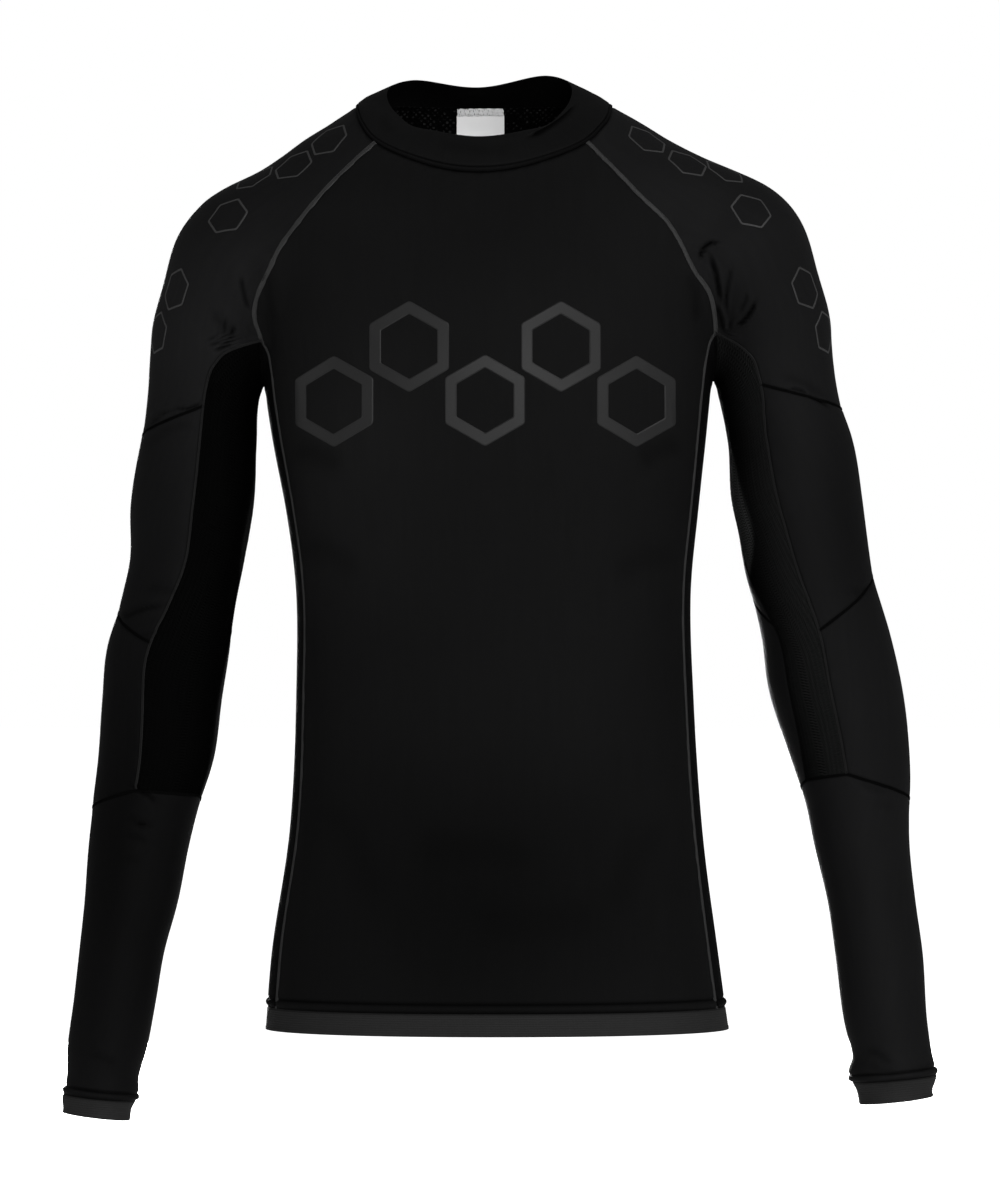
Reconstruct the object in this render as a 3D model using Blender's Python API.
"""A padded compression shirt: long raglan sleeves with elbow and forearm pads, filled out with no wearer.

The cut pieces lie on one smooth figure, a torso and two arms that run into each other at the shoulders.
Each piece is a thin wall between its seams. Tables and sizes are millimetres. +Z is up, the front faces -Y,
the wearer's left is +X, and the origin is the middle of the neck at the level of the shoulder points.
"""

import math

import bpy
import numpy as np

# Driving dimensions
TO_METRES = 0.001
KNIT = 1.2
BAND = 1.6
COLLAR_WALL = 2.4
SEAM_GAP = 0.3
HEM_SEAM = -679.0
HEM_END = -696.0
PAD_RISE = 3.0
NECK_AXIS = -7.0
HEM_HALF_DEPTH = 104.0
SHOULDER_PIVOT = (105.0, 0.0, -140.0)
SHOULDER_SOFTNESS = 12.0
ARMPIT_HALF_DEPTH = 44.0
SIDE_SEAM_SHARE = 0.955
LABEL_SIZE = (37.0, 50.0)
LABEL_MIDDLE = -6.0
LABEL_TOP = -1.0
LABEL_WALL = 1.0
LABEL_CLEAR = 0.7
FURTHEST_RAY = 140.0

# How many faces each seam is cut into
RAGLAN_STEPS = 11
SIDE_STEPS = 13
FRONT_STEPS = 16
BACK_STEPS = 16
UNDERARM_STEPS = 6
SLEEVE_STEPS = 16
ARM_STEPS = (3, 8, 6)
LOWER_STEPS = 11

# Sections of the torso: height, centre, half width, depth in front, depth behind, squareness
CENTRE, HALF_WIDTH, FRONT, BACK, SQUARENESS = 1, 2, 3, 4, 5
TORSO = (
    (-700, 7, 175, 107, 106, 2.2),
    (-637, 5, 168, 105, 102, 2.2),
    (-540, 6, 155, 102, 93, 2.3),
    (-448, 5, 150, 104, 90, 2.3),
    (-362, 4, 149, 110, 96, 2.4),
    (-302, 3, 156, 116, 105, 2.4),
    (-253, 1, 163, 120, 112, 2.4),
    (-222, 0, 167, 121, 115, 2.4),
    (-205, 0, 169, 121, 117, 2.35),
    (-190, 0, 171, 120, 118, 2.3),
    (-165, 0, 177, 117, 119, 2.2),
    (-141, 1, 185, 113, 118, 2.1),
    (-120, 1, 194, 108, 116, 2.0),
    (-97, 2, 205, 101, 113, 2.0),
    (-76, 2, 214, 95, 108, 2.0),
    (-61, 5, 200, 90, 104, 2.0),
    (-50, 7, 180, 86, 100, 2.0),
    (-39, 3, 159, 83, 96, 2.0),
    (-26, -1, 137, 80, 91, 2.0),
    (-15, -1, 119, 77, 87, 2.0),
    (0, -3, 94, 72, 78, 2.0),
    (15, -4, 63, 66, 70, 2.0),
)

# Sections of each arm: height, distance out from the middle, half width
OUTWARD, ARM_HALF = 1, 2
ARM = {
    "right": (
        (-762, 293, 25),
        (-752, 292, 26),
        (-745, 290, 28.5),
        (-735, 289, 27),
        (-707, 285, 30),
        (-674, 280, 31),
        (-637, 275, 32),
        (-600, 268, 35),
        (-555, 262, 38),
        (-526, 257, 40),
        (-494, 250, 42),
        (-448, 245, 43),
        (-407, 240, 45),
        (-377, 234, 43),
        (-343, 226, 42),
        (-302, 222, 45),
        (-252, 218, 43),
        (-222, 215, 42),
        (-190, 208, 47),
        (-165, 200, 53),
        (-127, 177, 64),
    ),
    "left": (
        (-750, 306, 28),
        (-738, 304, 29),
        (-730, 303, 33),
        (-715, 303, 30),
        (-694, 299, 31),
        (-637, 293, 33),
        (-600, 288, 33),
        (-555, 281, 36),
        (-526, 278, 39),
        (-512, 276, 41),
        (-485, 271, 44),
        (-438, 261, 48),
        (-403, 255, 47),
        (-356, 243, 47),
        (-325, 237, 47),
        (-299, 232, 48),
        (-253, 227, 46),
        (-222, 220, 45),
        (-187, 212, 48),
        (-161, 204, 54),
        (-118, 179, 65),
    ),
}
SIDE_SIGN = {"right": -1.0, "left": 1.0}
SHOULDER_BALL = {"right": -127.0, "left": -118.0}
CUFF_SEAM = {"right": -745.0, "left": -731.0}
CUFF_END = {"right": -759.0, "left": -747.0}
CUFF_TILT = 3.0

# Both arms: height, how far the arm lies forward, depth over width
FORWARD, ARM_DEPTH = 1, 2
ARM_POSE = (
    (-760, 42, 1.0),
    (-600, 24, 1.04),
    (-430, 6, 1.08),
    (-250, 0, 1.12),
    (-100, -2, 1.12),
)

# Height and how widely the sleeve and the body run into each other
BLEND = ((-700, 3), (-240, 3), (-213, 3.5), (-190, 13), (-160, 24), (-110, 20), (-70, 10), (20, 8))

# Neckline: angle from the front, height of the collar seam, height of the collar's top edge
SEAM_HEIGHT, TOP_HEIGHT = 1, 2
NECKLINE = (
    (-29, -47.5, -23),
    (0, -55.5, -28),
    (29, -47.5, -23),
    (49, -32, -17),
    (60, -18, -9.5),
    (72, -6.5, -2),
    (90, -0.5, 9.5),
    (106, 1.5, 16.5),
    (132, 4, 23.5),
    (180, 4, 18),
    (228, 4, 23.5),
)
COLLAR_TOP_MIDDLE = (-6.5, -8.0)
COLLAR_TOP_HALF = (69.5, 62.0)
COLLAR_BOW = {"front": 2.0, "side": 5.0}
COLLAR_TILT = 0.04

# The folded band from its seam to its rolled top: how far its outer and inner faces lie from its middle,
# as shares of its thickness
COLLAR_OUTER = (0.5, 0.6, 0.75, 0.9, 0.9, 0.35)
COLLAR_INNER = (0.5, 0.45, 0.4, 0.35, 0.35, -0.05)
RAGLAN_START_ANGLE = {"front": 49.0, "back": 128.0}

# Raglan seams: height, distance from their middle, where the middle lies
DISTANCE, MIDDLE = 1, 2
RAGLAN = {
    "front": (
        (-178, 172, -1),
        (-161, 172.5, -3),
        (-144, 168, -3),
        (-126, 157.5, -5),
        (-109, 149, -5),
        (-91, 136.5, -4),
        (-74, 120.5, -6),
        (-56, 104, -6.5),
        (-38, 87.5, -7),
        (-28, 78, -7),
    ),
    "back": ((-178, 171, -1), (-140, 164, -4), (-100, 144, -5), (-60, 115, -6), (-30, 88, -7), (4, 62, -7)),
}

# Seams beside the inner mesh: height, angle from the front of the arm towards the body
MESH_SEAM = {
    "right": {
        "front": (
            (-520, -12),
            (-464, -16),
            (-414, -18),
            (-391, -12),
            (-367, -4),
            (-301, 2),
            (-229, 4),
            (-212, 4),
            (-198, 6),
            (-188, 13),
            (-178, 42),
        ),
        "back": ((-520, 75), (-464, 75), (-414, 80), (-367, 95), (-301, 112), (-229, 122), (-178, 138)),
    },
    "left": {
        "front": (
            (-510, 10),
            (-482, 8),
            (-436, 7),
            (-380, 9),
            (-337, 15),
            (-297, 19),
            (-251, 24),
            (-208, 18),
            (-188, 22),
            (-172, 42),
        ),
        "back": (
            (-510, 62),
            (-482, 54),
            (-443, 48),
            (-396, 52),
            (-337, 88),
            (-297, 106),
            (-212, 122),
            (-172, 138),
        ),
    },
}

# Seams across each sleeve: height at the front edge of the mesh, at its back edge, and the rise between them
CROSS_SEAMS = {
    "right": ((-228, -232, -21), (-405, -400, 28), (-515, -520, -16)),
    "left": ((-212, -216, -16), (-396, -392, 50), (-503, -508, -21)),
}

# Large folds: one end (x, y, z), the other end, half width across, depth
FOLDS = (
    ((163, -75, -118), (170, -46, -176), 8, 2.4),
    ((188, -62, -112), (178, -48, -160), 8, 2.0),
    ((-178, -66, -126), (-170, -50, -172), 9, 1.6),
    ((-262, -36, -388), (-240, -46, -382), 8, 3.0),
    ((-272, -20, -548), (-246, -34, -560), 9, 2.2),
    ((-278, 24, -386), (-256, 48, -402), 9, 2.6),
    ((300, 26, -372), (276, 50, -394), 9, 2.6),
    ((322, -8, -360), (300, -40, -378), 8, 2.2),
    ((-96, 92, -66), (-148, 84, -120), 14, 2.0),
    ((98, 92, -62), (150, 84, -118), 14, 2.0),
)


def smooth(table, column, at):
    """A cubic through the rows of a table, whose slope at a row is that of its neighbours."""
    rows = np.array(table, float)
    knots = rows[:, 0]
    values = rows[:, column]
    slopes = np.gradient(values, knots)
    at = np.clip(at, knots[0], knots[-1])
    left = np.clip(np.searchsorted(knots, at, side="right") - 1, 0, len(knots) - 2)
    span = knots[left + 1] - knots[left]
    t = (at - knots[left]) / span
    start = (1 + 2 * t) * (1 - t) ** 2 * values[left] + t * (1 - t) ** 2 * span * slopes[left]
    end = t * t * (3 - 2 * t) * values[left + 1] + t * t * (t - 1) * span * slopes[left + 1]
    return start + end


def torso(points):
    """Distance outside the torso, level with the point: a superellipse at each height."""
    x, y, z = np.moveaxis(points, -1, 0)
    off = x - smooth(TORSO, CENTRE, z)
    depth = np.where(y < 0, smooth(TORSO, FRONT, z), smooth(TORSO, BACK, z))
    power = smooth(TORSO, SQUARENESS, z)
    reach = (np.abs(off) / smooth(TORSO, HALF_WIDTH, z)) ** power + (np.abs(y) / depth) ** power
    reach = reach ** (1 / power) + 1e-9
    return np.hypot(off, y) * (1 - 1 / reach)


def arm(points, side):
    """Distance outside one arm: an ellipse at each height, closed by a ball at the shoulder."""
    x, y, z = np.moveaxis(points, -1, 0)
    top = -SHOULDER_BALL[side] / SHOULDER_SOFTNESS
    level = -SHOULDER_SOFTNESS * np.logaddexp(-z / SHOULDER_SOFTNESS, top)
    out = x * SIDE_SIGN[side] - smooth(ARM[side], OUTWARD, level)
    forward = (y + smooth(ARM_POSE, FORWARD, level)) / smooth(ARM_POSE, ARM_DEPTH, level)
    return np.sqrt(out**2 + forward**2 + (z - level) ** 2) - smooth(ARM[side], ARM_HALF, level)


def figure(points):
    """Zero on the shirt's surface: torso and arms, joined by a soft minimum."""
    body = torso(points)
    arms = np.where(points[..., 0] < 0, arm(points, "right"), arm(points, "left"))
    width = smooth(BLEND, 1, points[..., 2])
    overlap = np.clip(1 - np.abs(body - arms) / width, 0, None)
    return np.minimum(body, arms) - width * overlap**2 / 4


def slope(function, points):
    """The function's gradient, from central differences."""
    step = 0.4
    sides = [function(points + step * axis) - function(points - step * axis) for axis in np.eye(3)]
    return np.stack(sides, -1) / (2 * step)


def unit(vectors):
    return vectors / np.maximum(np.linalg.norm(vectors, axis=-1, keepdims=True), 1e-9)


def settle(points):
    """Moves points that lie near the figure onto it."""
    for _ in range(12):
        gradient = slope(figure, points)
        steepness = np.maximum(np.sum(gradient**2, -1), 0.05)
        step = np.clip(figure(points) / steepness, -12, 12)
        points = points - step[..., None] * gradient
    return points


def cast(origin, direction):
    """The point where a ray from inside the figure leaves it."""
    direction = unit(direction)
    near = np.zeros(direction.shape[:-1])
    far = np.full(direction.shape[:-1], FURTHEST_RAY)
    for _ in range(34):
        middle = (near + far) / 2
        inside = figure(origin + middle[..., None] * direction) < 0
        near = np.where(inside, middle, near)
        far = np.where(inside, far, middle)
    return origin + near[..., None] * direction


def pin(curve, start, end, reach=0.25):
    """Moves a curve's ends to two points, less and less away from them, and lays it on the figure."""
    share = np.linspace(0, 1, len(curve))[:, None]
    curve = curve + (start - curve[0]) * np.clip(1 - share / reach, 0, 1) ** 2
    curve = settle(curve + (end - curve[-1]) * np.clip(1 - (1 - share) / reach, 0, 1) ** 2)
    curve[0] = start
    curve[-1] = end
    return curve


def neckline(start, end, steps):
    """Part of the collar seam, between two angles from the front, positive towards the wearer's left."""
    angle = np.linspace(start, end, steps + 1)
    height = smooth(NECKLINE, SEAM_HEIGHT, np.abs((angle + 180) % 360 - 180))
    origin = np.stack([np.full_like(angle, NECK_AXIS), np.zeros_like(angle), height], -1)
    turn = np.radians(angle)
    return cast(origin, np.stack([np.sin(turn), -np.cos(turn), np.zeros_like(turn)], -1))


def underarm(side):
    """The seam through the armpit, where the torso and the arm are equally far away."""
    y = np.linspace(-ARMPIT_HALF_DEPTH, ARMPIT_HALF_DEPTH, UNDERARM_STEPS + 1)
    x = np.full_like(y, 170.0 * SIDE_SIGN[side])
    z = np.full_like(y, -195.0)

    def misses(x, z):
        points = np.stack([x, y, z], -1)
        level = smooth(BLEND, 1, z) / 4
        return torso(points) - level, arm(points, side) - level

    nudge = 0.2
    for _ in range(60):
        body, sleeve = misses(x, z)
        body_x, sleeve_x = [(a - b) / nudge for a, b in zip(misses(x + nudge, z), (body, sleeve))]
        body_z, sleeve_z = [(a - b) / nudge for a, b in zip(misses(x, z + nudge), (body, sleeve))]
        area = body_x * sleeve_z - body_z * sleeve_x
        x = x - np.clip((body * sleeve_z - body_z * sleeve) / area, -4, 4)
        z = z - np.clip((body_x * sleeve - body * sleeve_x) / area, -4, 4)
    return np.stack([x, y, z], -1)


def raglan(side, face, armpit):
    """A raglan seam, from the collar to the armpit."""
    angle = RAGLAN_START_ANGLE[face] * SIDE_SIGN[side]
    start = neckline(angle, angle, 1)[0]
    z = np.linspace(start[2], armpit[2], RAGLAN_STEPS + 1)
    x = smooth(RAGLAN[face], MIDDLE, z) + SIDE_SIGN[side] * smooth(RAGLAN[face], DISTANCE, z)
    towards = -1.0 if face == "front" else 1.0
    origin = np.stack([x, np.zeros_like(x), z], -1)
    curve = cast(origin, np.broadcast_to([0.0, towards, 0.0], origin.shape))
    return pin(curve, start, armpit)


def side_seam(side, face, armpit):
    """A side seam, from the armpit to the hem, a fixed share of the half width from the middle."""
    share = np.linspace(0, 1, SIDE_STEPS + 1) ** 1.25
    z = armpit[2] + (HEM_SEAM - armpit[2]) * share
    x = smooth(TORSO, CENTRE, z) + SIDE_SIGN[side] * SIDE_SEAM_SHARE * smooth(TORSO, HALF_WIDTH, z)
    towards = -1.0 if face == "front" else 1.0
    origin = np.stack([x, np.zeros_like(x), z], -1)
    curve = cast(origin, np.broadcast_to([0.0, towards, 0.0], origin.shape))
    return pin(curve, armpit, curve[-1], 0.12)


def torso_arc(start, end, steps):
    """Part of the level ring at the height of both ends, on the torso."""
    centre = smooth(TORSO, CENTRE, start[2])
    half = smooth(TORSO, HALF_WIDTH, start[2])
    angles = [math.atan2((p[0] - centre) / half, -p[1] / HEM_HALF_DEPTH) for p in (start, end)]
    if angles[1] <= angles[0]:
        angles[1] += 2 * math.pi
    angle = np.linspace(angles[0], angles[1], steps + 1)
    origin = np.broadcast_to([centre, 0.0, start[2]], (steps + 1, 3))
    away = np.stack([half * np.sin(angle), -HEM_HALF_DEPTH * np.cos(angle), np.zeros_like(angle)], -1)
    arc = cast_torso(origin, away)
    arc[0] = start
    arc[-1] = end
    return arc


def cast_torso(origin, direction):
    """The point where a level ray leaves the torso, away from the arms."""
    direction = unit(direction)
    length = np.full(direction.shape[:-1], 100.0)
    for _ in range(40):
        length = length - torso(origin + length[..., None] * direction)
    return origin + length[..., None] * direction


def on_arm(side, angle, height):
    """The point of the sleeve at an angle from the front, towards the body, and a height."""
    turn = np.radians(angle)
    half = smooth(ARM[side], ARM_HALF, height)
    x = SIDE_SIGN[side] * (smooth(ARM[side], OUTWARD, height) - half * np.sin(turn))
    y = -smooth(ARM_POSE, FORWARD, height) - half * smooth(ARM_POSE, ARM_DEPTH, height) * np.cos(turn)
    return np.stack(np.broadcast_arrays(x, y, height), -1)


def mesh_seam(side, face, armpit):
    """A seam beside the inner mesh, from the armpit down past each cross seam."""
    edge = 0 if face == "front" else 1
    stops = [armpit[2]] + [seam[edge] for seam in CROSS_SEAMS[side]]
    runs = [np.linspace(a, b, n + 1)[1:] for a, b, n in zip(stops, stops[1:], ARM_STEPS)]
    height = np.concatenate([[armpit[2]]] + runs)
    curve = settle(on_arm(side, smooth(MESH_SEAM[side][face], 1, height), height))
    return pin(curve, armpit, curve[-1], 0.1)


def cross_seam(side, which, front_point, back_point):
    """A seam round the outer side of the sleeve, from the front edge of the mesh to its back edge."""
    front, back, rise = CROSS_SEAMS[side][which]
    share = np.linspace(0, 1, SLEEVE_STEPS + 1)
    start = smooth(MESH_SEAM[side]["front"], 1, front)
    end = smooth(MESH_SEAM[side]["back"], 1, back) - 360.0
    height = front + (back - front) * share + rise * np.sin(np.pi * share)
    arc = settle(on_arm(side, start + (end - start) * share, height))
    arc[0] = front_point
    arc[-1] = back_point
    return arc


def inner_arc(side, front_point, back_point):
    """The foot of the inner mesh, round the side of the sleeve next to the body."""
    front, back, _ = CROSS_SEAMS[side][2]
    share = np.linspace(0, 1, UNDERARM_STEPS + 1)
    start = smooth(MESH_SEAM[side]["front"], 1, front)
    end = smooth(MESH_SEAM[side]["back"], 1, back)
    arc = settle(on_arm(side, start + (end - start) * share, front + (back - front) * share))
    arc[0] = front_point
    arc[-1] = back_point
    return arc


def patch(top, bottom, left, right):
    """A surface between four seams: a Coons patch, laid on the figure. Rows run down, columns across."""
    down = np.linspace(0, 1, len(left))[:, None, None]
    across = np.linspace(0, 1, len(top))[None, :, None]
    ruled = (1 - down) * top[None] + down * bottom[None]
    ruled = ruled + (1 - across) * left[:, None] + across * right[:, None]
    corners = (1 - down) * ((1 - across) * top[0] + across * top[-1])
    corners = corners + down * ((1 - across) * bottom[0] + across * bottom[-1])
    grid = ruled - corners
    grid[1:-1, 1:-1] = settle(grid[1:-1, 1:-1])
    return grid


def sleeve_cap(top, bottom, front, back, side):
    """The raglan cap: each row is an arch from the front seam over the shoulder to the back seam."""
    share = np.linspace(0, 1, len(front))
    middle = (front + back) / 2
    pivot = np.array([SIDE_SIGN[side], 1, 1]) * SHOULDER_PIVOT
    ends = [row[SLEEVE_STEPS // 2] - pivot for row in (top, bottom)]
    lean = np.interp(share, [0, 1], [math.atan2(SIDE_SIGN[side] * end[0], end[2]) for end in ends])
    outward = np.stack([SIDE_SIGN[side] * np.sin(lean), np.zeros_like(lean), np.cos(lean)], -1)
    crown = cast(np.broadcast_to(pivot, outward.shape), outward)
    turn = np.linspace(0, np.pi, SLEEVE_STEPS + 1)[None, :, None]
    half = ((front - back) / 2)[:, None]
    rise = (crown - middle)[:, None]
    away = half * np.cos(turn) + rise * np.sin(turn)
    grid = cast(np.broadcast_to(middle[:, None], away.shape), away)
    foot = 0.2
    blend = np.clip((share - 1 + foot) / foot, 0, 1)[:, None, None] ** 2
    grid = settle(grid + blend * (bottom - grid[-1])[None])
    grid[0] = top
    grid[-1] = bottom
    grid[:, 0] = front
    grid[:, -1] = back
    return grid


def fold_depth(points):
    """How deep the large folds press the cloth at each point."""
    depth = np.zeros(points.shape[:-1])
    for start, end, half_width, most in FOLDS:
        start, along = np.array(start, float), np.array(end, float) - np.array(start, float)
        share = (points - start) @ along / (along @ along)
        nearest = start + np.clip(share, 0, 1)[..., None] * along
        away = np.linalg.norm(points - nearest, axis=-1) / half_width
        depth = depth + most * np.exp(-(away**2))
    return depth


ALL_EDGES = ("top", "bottom", "left", "right")


def trim(grid, edges):
    """Draws the named edges of a grid back from their seams by half the gap, square to the seam."""
    grid = grid.copy()
    views = {
        "top": (grid[0], grid[1]),
        "bottom": (grid[-1], grid[-2]),
        "left": (grid[:, 0], grid[:, 1]),
        "right": (grid[:, -1], grid[:, -2]),
    }
    for edge in edges:
        rim, inner = views[edge]
        run = unit(np.gradient(rim, axis=0))
        if "left" not in edges and edge in ("top", "bottom"):
            run = unit(np.roll(rim, -1, 0) - np.roll(rim, 1, 0))
        inward = inner - rim
        inward = unit(inward - np.sum(inward * run, -1, keepdims=True) * run)
        rim += inward * SEAM_GAP / 2
    return grid


def wall_faces(rows, columns, ring):
    """Faces of a wall: an outer grid, an inner one behind it, and a rim round each open edge."""
    index = np.arange(rows * columns).reshape(rows, columns)
    if ring:
        index = np.concatenate([index, index[:, :1]], 1)
    quads = np.stack([index[:-1, :-1], index[1:, :-1], index[1:, 1:], index[:-1, 1:]], -1).reshape(-1, 4)
    behind = rows * columns
    rims = [index[0], index[-1]]
    if not ring:
        rims += [index[:, 0], index[:, -1]]
    strips = [np.stack([r[:-1], r[1:], r[1:] + behind, r[:-1] + behind], -1) for r in rims]
    return np.concatenate([quads, quads[:, ::-1] + behind] + strips)


def material(name, colour, roughness):
    made = bpy.data.materials.new(name)
    made.use_nodes = True
    shader = made.node_tree.nodes["Principled BSDF"]
    shader.inputs["Base Color"].default_value = (*colour, 1.0)
    shader.inputs["Roughness"].default_value = roughness
    shader.inputs["Metallic"].default_value = 0.0
    made.diffuse_color = (*colour, 1.0)
    return made


def wall(name, outer, inner, finish, ring=False):
    """One cut piece, as a closed wall between its outer and its inner points."""
    rows, columns = outer.shape[:2]
    points = np.concatenate([outer.reshape(-1, 3), inner.reshape(-1, 3)]) * TO_METRES
    mesh = bpy.data.meshes.new(name)
    mesh.from_pydata(points.tolist(), [], wall_faces(rows, columns, ring).tolist())
    mesh.validate()
    piece = bpy.data.objects.new(name, mesh)
    shirt.objects.link(piece)
    bpy.context.view_layer.objects.active = piece
    piece.select_set(True)
    bpy.ops.object.mode_set(mode="EDIT")
    bpy.ops.mesh.select_all(action="SELECT")
    bpy.ops.mesh.normals_make_consistent(inside=False)
    bpy.ops.object.mode_set(mode="OBJECT")
    piece.select_set(False)
    mesh.shade_smooth()
    mesh.set_sharp_from_angle(angle=math.radians(50))
    mesh.materials.append(finish)
    return piece


def cloth(name, grid, finish, edges=ALL_EDGES, thickness=KNIT, raised=None, ring=False):
    """A knit piece on the figure: trimmed at its seams, pressed in by folds, and raised over its padding."""
    normal = unit(slope(figure, grid))
    sunk = -fold_depth(grid)[..., None] * normal
    base = trim(grid, edges) + sunk
    outer = base if raised is None else base + raised[..., None] * normal
    return wall(name, outer, base - thickness * normal, finish, ring)


def pad_profile(rows, columns):
    """The padding's rise over a panel: nothing at the seams, full a short way inside them."""
    down = np.linspace(0, 1, rows)[:, None]
    across = np.linspace(0, 1, columns)[None, :]
    return PAD_RISE * (np.sin(np.pi * down) ** 0.7) * (np.sin(np.pi * across) ** 0.5)


for old in list(bpy.data.objects):
    bpy.data.objects.remove(old, do_unlink=True)
shirt = bpy.data.collections.new("padded_compression_shirt")
bpy.context.scene.collection.children.link(shirt)

body_knit = material("body_knit", (0.012, 0.012, 0.013), 0.7)
sleeve_knit = material("sleeve_knit", (0.016, 0.016, 0.017), 0.6)
mesh_knit = material("mesh_knit", (0.008, 0.009, 0.009), 0.85)
pad_knit = material("pad_knit", (0.015, 0.015, 0.016), 0.6)
elastic = material("elastic", (0.03, 0.03, 0.03), 0.7)
woven_label = material("woven_label", (0.8, 0.8, 0.8), 0.6)

# Seams
pits = {side: underarm(side) for side in SIDE_SIGN}
raglans = {
    (side, face): raglan(side, face, pits[side][0 if face == "front" else -1])
    for side in SIDE_SIGN
    for face in ("front", "back")
}
sides = {
    (side, face): side_seam(side, face, pits[side][0 if face == "front" else -1])
    for side in SIDE_SIGN
    for face in ("front", "back")
}
front_start = RAGLAN_START_ANGLE["front"]
back_start = RAGLAN_START_ANGLE["back"]
neck_front = neckline(-front_start, front_start, FRONT_STEPS)
neck_back = neckline(back_start, 360 - back_start, BACK_STEPS)
neck_side = {
    "left": neckline(front_start, back_start, SLEEVE_STEPS),
    "right": neckline(-front_start, -back_start, SLEEVE_STEPS),
}

# Front and back of the body
edge = {key: np.concatenate([raglans[key], sides[key][1:]]) for key in sides}
hem_front = torso_arc(edge["right", "front"][-1], edge["left", "front"][-1], FRONT_STEPS)
hem_back = torso_arc(edge["left", "back"][-1], edge["right", "back"][-1], BACK_STEPS)
front_grid = patch(neck_front, hem_front, edge["right", "front"], edge["left", "front"])
back_grid = patch(neck_back, hem_back, edge["left", "back"], edge["right", "back"])
cloth("front_panel", front_grid, body_knit)
cloth("back_panel", back_grid, mesh_knit)

# Side panels, from the armpit seam to the hem
hem_side = {}
for side in SIDE_SIGN:
    front, back = sides[side, "front"], sides[side, "back"]
    ends = (front[-1], back[-1]) if side == "left" else (back[-1], front[-1])
    arc = torso_arc(ends[0], ends[1], UNDERARM_STEPS)
    hem_side[side] = arc if side == "left" else arc[::-1]
    cloth("side_panel_" + side, patch(pits[side], hem_side[side], front, back), mesh_knit)

# Sleeves
for side in SIDE_SIGN:
    front = mesh_seam(side, "front", pits[side][0])
    back = mesh_seam(side, "back", pits[side][-1])
    stops = np.cumsum(ARM_STEPS)
    rings = [cross_seam(side, which, front[stop], back[stop]) for which, stop in enumerate(stops)]
    cap_front = np.concatenate([raglans[side, "front"], front[1 : stops[0] + 1]])
    cap_back = np.concatenate([raglans[side, "back"], back[1 : stops[0] + 1]])
    cap = sleeve_cap(neck_side[side], rings[0], cap_front, cap_back, side)
    cloth("shoulder_panel_" + side, cap, sleeve_knit)
    for which, name in enumerate(("elbow_pad_panel_", "forearm_pad_panel_")):
        part = slice(stops[which], stops[which + 1] + 1)
        grid = patch(rings[which], rings[which + 1], front[part], back[part])
        cloth(name + side, grid, pad_knit, raised=pad_profile(*grid.shape[:2]))
    foot = inner_arc(side, front[-1], back[-1])
    cloth("inner_mesh_panel_" + side, patch(pits[side], foot, front, back), mesh_knit)

    # Round the sleeve: the outer side, then the side next to the body
    ring = np.concatenate([rings[2][:-1], foot[::-1][:-1]])
    towards_body = smooth(ARM[side], OUTWARD, ring[:, 2]) - SIDE_SIGN[side] * ring[:, 0]
    forward = -(ring[:, 1] + smooth(ARM_POSE, FORWARD, ring[:, 2]))
    forward = forward / smooth(ARM_POSE, ARM_DEPTH, ring[:, 2])
    turn = np.degrees(np.unwrap(np.arctan2(towards_body, forward)))
    share = np.linspace(0, 1, LOWER_STEPS + 1)[:, None]
    even = turn[0] + np.linspace(0, -360, len(turn), endpoint=False)
    dip = CUFF_TILT * np.sin(np.radians(even))
    height = ring[:, 2] + (CUFF_SEAM[side] - dip - ring[:, 2]) * share**0.85
    lower = on_arm(side, turn + (even - turn) * share, height)
    lower[0] = ring
    cloth("lower_sleeve_" + side, lower, sleeve_knit, ("top", "bottom"), ring=True)
    height = np.linspace(CUFF_SEAM[side], CUFF_END[side], 4)[:, None] - dip
    cuff = on_arm(side, even, height)
    cloth("cuff_band_" + side, cuff, elastic, ("top",), BAND, ring=True)

# Hem band
hem_runs = (hem_front, hem_side["left"], hem_back, hem_side["right"][::-1])
hem = np.concatenate([run[:-1] for run in hem_runs])
band_rows = []
for height in np.linspace(HEM_SEAM, HEM_END, 4):
    level = hem.copy()
    level[:, 2] = height
    grow = smooth(TORSO, HALF_WIDTH, height) / smooth(TORSO, HALF_WIDTH, HEM_SEAM)
    centre = smooth(TORSO, CENTRE, height)
    level[:, 0] = centre + (level[:, 0] - smooth(TORSO, CENTRE, HEM_SEAM)) * grow
    level[:, 1] = level[:, 1] * grow
    band_rows.append(level)
cloth("hem_band", np.stack(band_rows), elastic, ("top",), BAND, ring=True)

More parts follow.
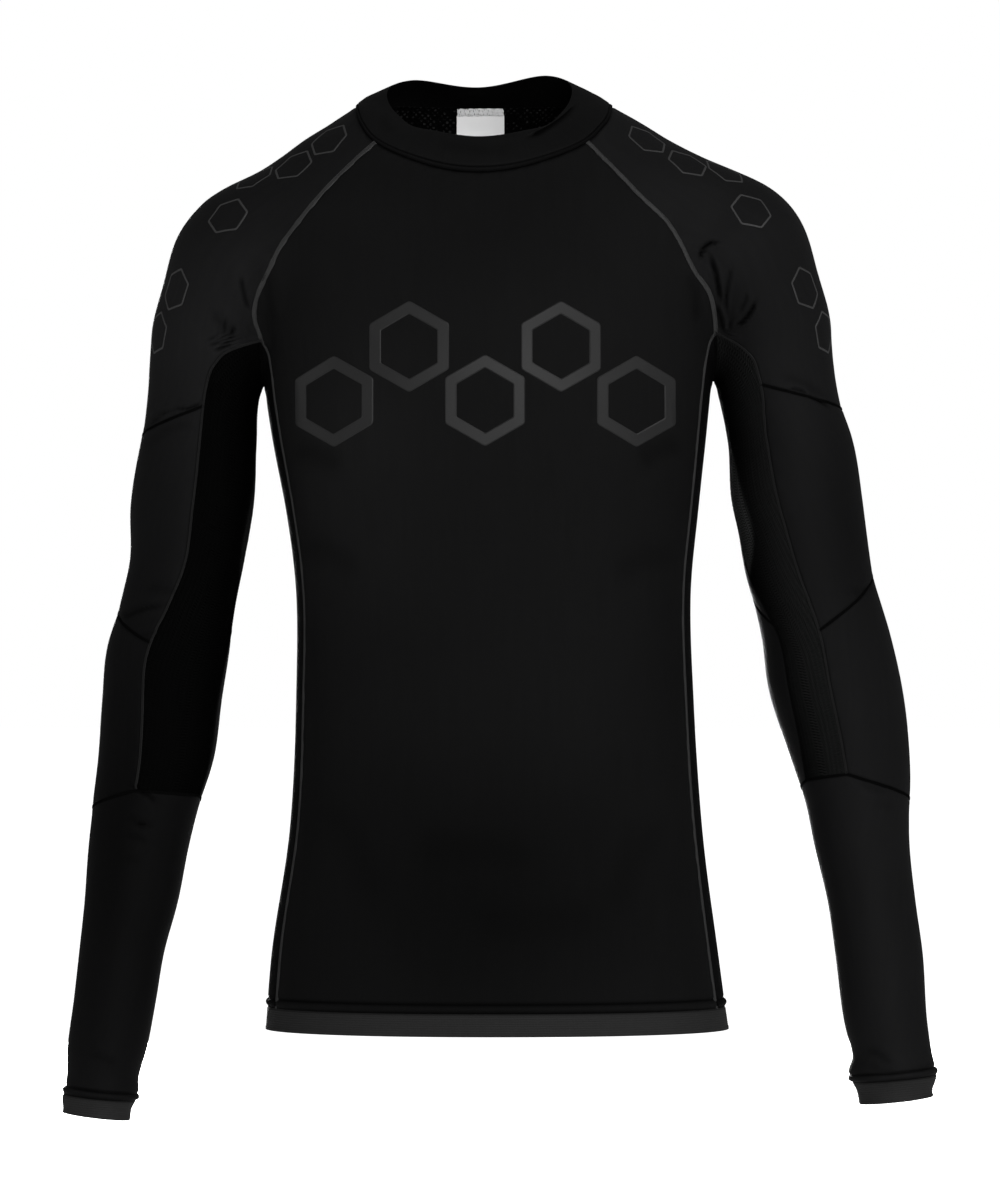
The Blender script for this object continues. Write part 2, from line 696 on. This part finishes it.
# Collar: from the neck seam up to its rolled top edge
neck_runs = (neck_front, neck_side["left"], neck_back, neck_side["right"][::-1])
neck = np.concatenate([run[:-1] for run in neck_runs])
angle = np.arctan2(neck[:, 0] - NECK_AXIS, -neck[:, 1])
top_height = smooth(NECKLINE, TOP_HEIGHT, np.abs(np.degrees(angle)))
top_height = top_height + COLLAR_TILT * COLLAR_TOP_HALF[0] * np.sin(angle) * (1 - np.cos(angle)) / 2
top = np.stack(
    [
        COLLAR_TOP_MIDDLE[0] + COLLAR_TOP_HALF[0] * np.sin(angle),
        COLLAR_TOP_MIDDLE[1] - COLLAR_TOP_HALF[1] * np.cos(angle),
        top_height,
    ],
    -1,
)
neck_normal = unit(slope(figure, neck))
level_out = unit(top * [1, 1, 0] - [COLLAR_TOP_MIDDLE[0], COLLAR_TOP_MIDDLE[1], 0])
collar_bow = COLLAR_BOW["front"] + (COLLAR_BOW["side"] - COLLAR_BOW["front"]) * np.sin(angle) ** 2
collar_middle = []
collar_out = []
for share in np.linspace(0, 1, len(COLLAR_OUTER)):
    bow = collar_bow[:, None] * math.sin(math.pi * share)
    row = neck + (top - neck) * share + bow * level_out
    collar_middle.append(row)
    facing = unit(neck_normal * (1 - share) + level_out * share)
    collar_out.append(facing)
collar_middle = trim(np.stack(collar_middle), ("top",))
collar_out = np.stack(collar_out)
outer_share = np.array(COLLAR_OUTER)[:, None, None]
inner_share = np.array(COLLAR_INNER)[:, None, None]
outside = collar_middle + collar_out * outer_share * COLLAR_WALL
inside = collar_middle - collar_out * inner_share * COLLAR_WALL
wall("collar", outside, inside, body_knit, ring=True)

# Neck label, hanging inside the back of the neck
width, drop = LABEL_SIZE
x, z = np.meshgrid(
    LABEL_MIDDLE + np.linspace(-width / 2, width / 2, 5),
    LABEL_TOP - np.linspace(0, drop, 6),
)
origin = np.stack([x, np.zeros_like(x), z], -1)
behind = cast(origin, np.broadcast_to([0.0, 1.0, 0.0], origin.shape))
inward = -unit(slope(figure, behind))
label_back = behind + inward * (KNIT + LABEL_CLEAR)
wall("neck_label", label_back, label_back + inward * LABEL_WALL, woven_label)
